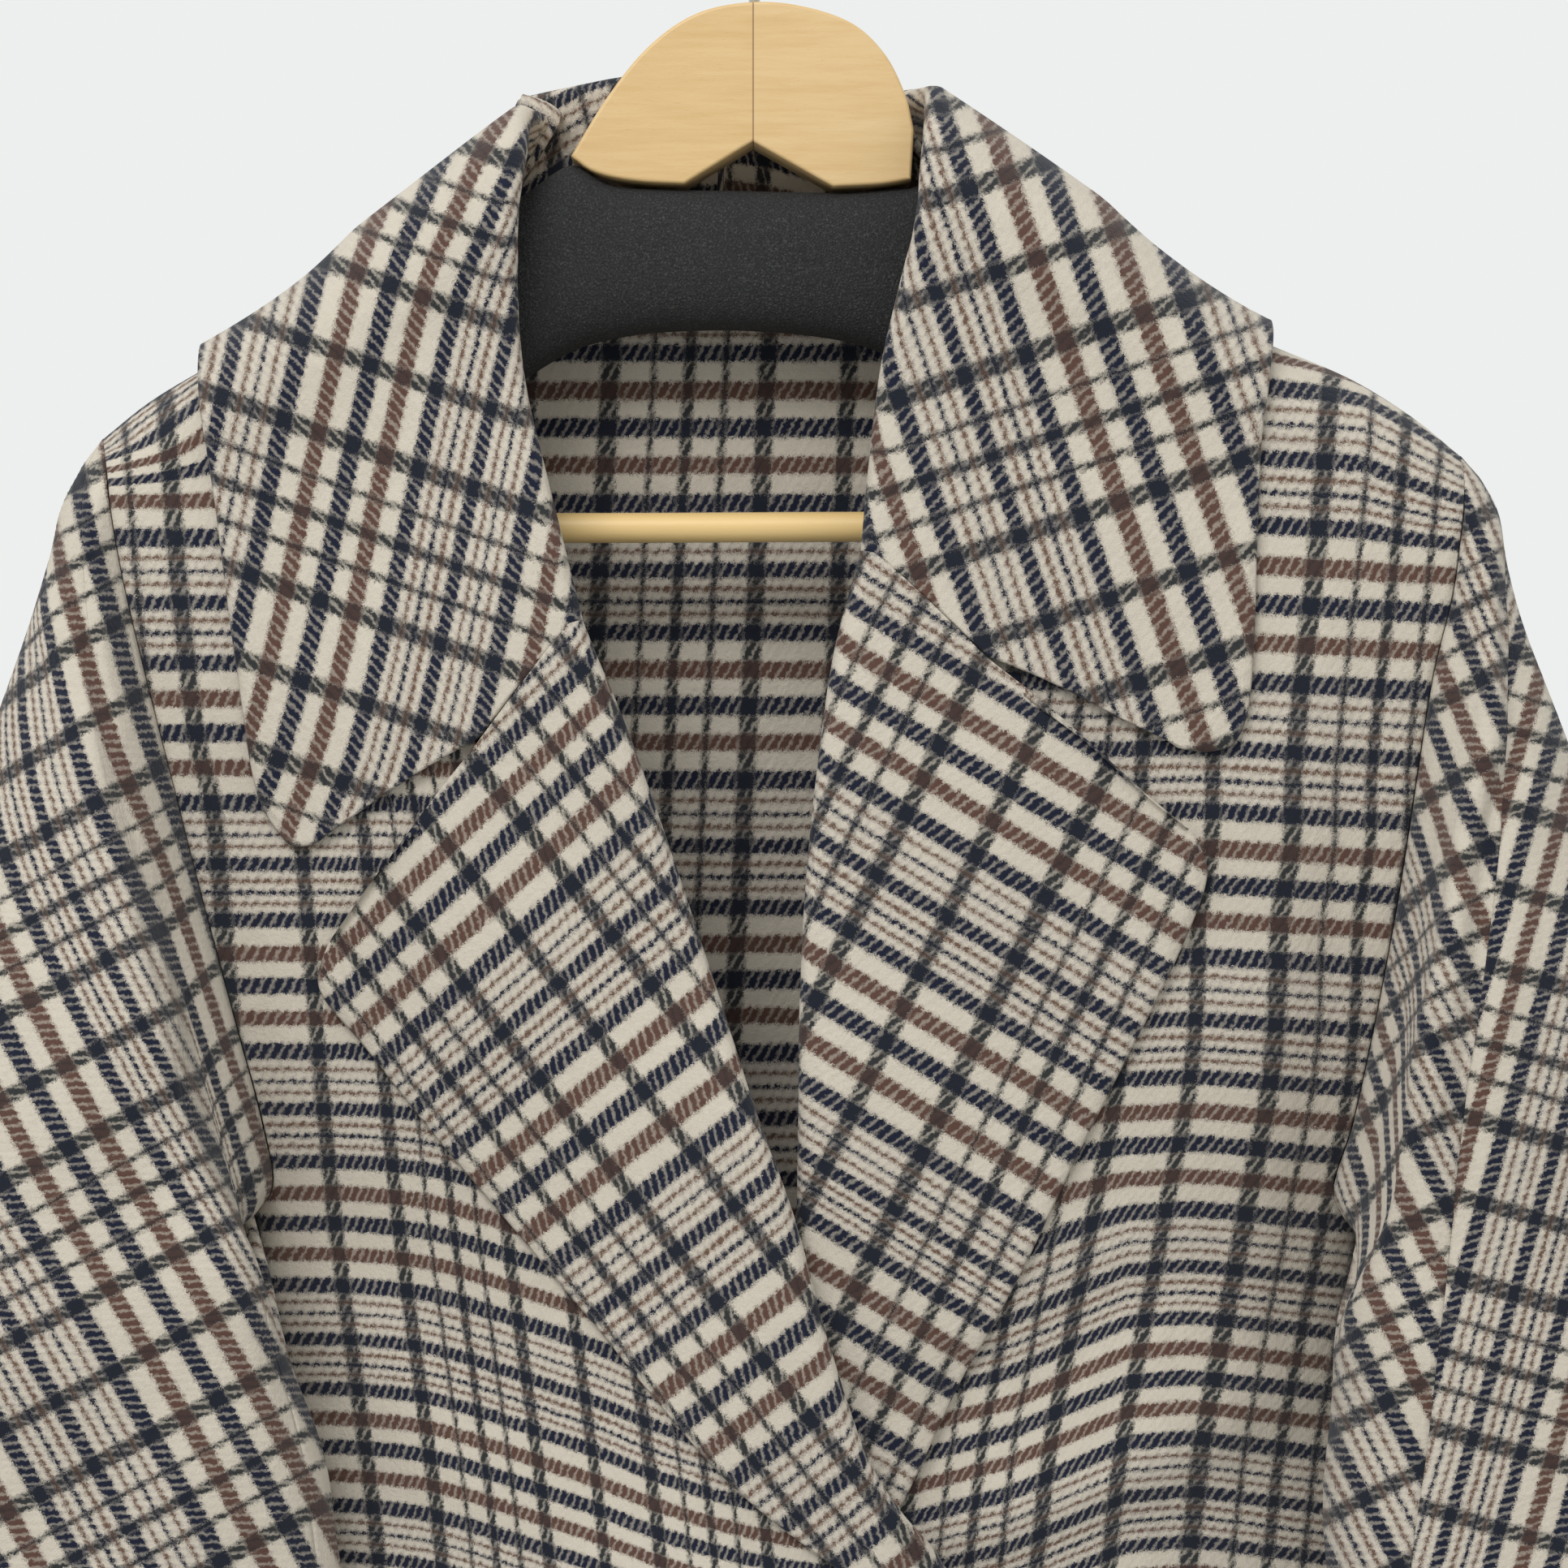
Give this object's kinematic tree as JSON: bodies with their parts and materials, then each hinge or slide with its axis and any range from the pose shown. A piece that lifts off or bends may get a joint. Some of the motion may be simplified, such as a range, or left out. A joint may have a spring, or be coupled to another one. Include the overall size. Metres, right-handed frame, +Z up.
{
  "type": "cocoon coat on a padded wooden hanger",
  "caption": "Open-necked cocoon coat in napped wool check with a wide collar, turned-back lapels and long sleeves, hanging from the wire hook of a padded wooden hanger.",
  "frame": {"origin": "inner top of the hook's bend, where the rail carries the hanger", "axes": "+Z up along the hook's stem, -Y out of the coat's front, +X to the viewer's right when facing the front"},
  "size_m": [0.768, 0.1736, 1.064],
  "materials": {
    "check_wool": "napped double-faced wool in a cream, navy, brown and grey-green twill check",
    "pale_wood": "pale lacquered wood with fine grain",
    "dark_foam": "charcoal fine-grained foam sleeve",
    "steel_wire": "bright bent wire"
  },
  "bodies": {
    "root": {"back": "check_wool", "front_left": "check_wool", "front_right": "check_wool", "lapel_left": "check_wool", "lapel_right": "check_wool", "collar": "check_wool", "sleeve_left": "check_wool", "sleeve_right": "check_wool", "hanger_head": "pale_wood", "hanger_arms": "dark_foam", "trouser_bar": "pale_wood", "hook": "steel_wire"}
  },
  "joints": []
}
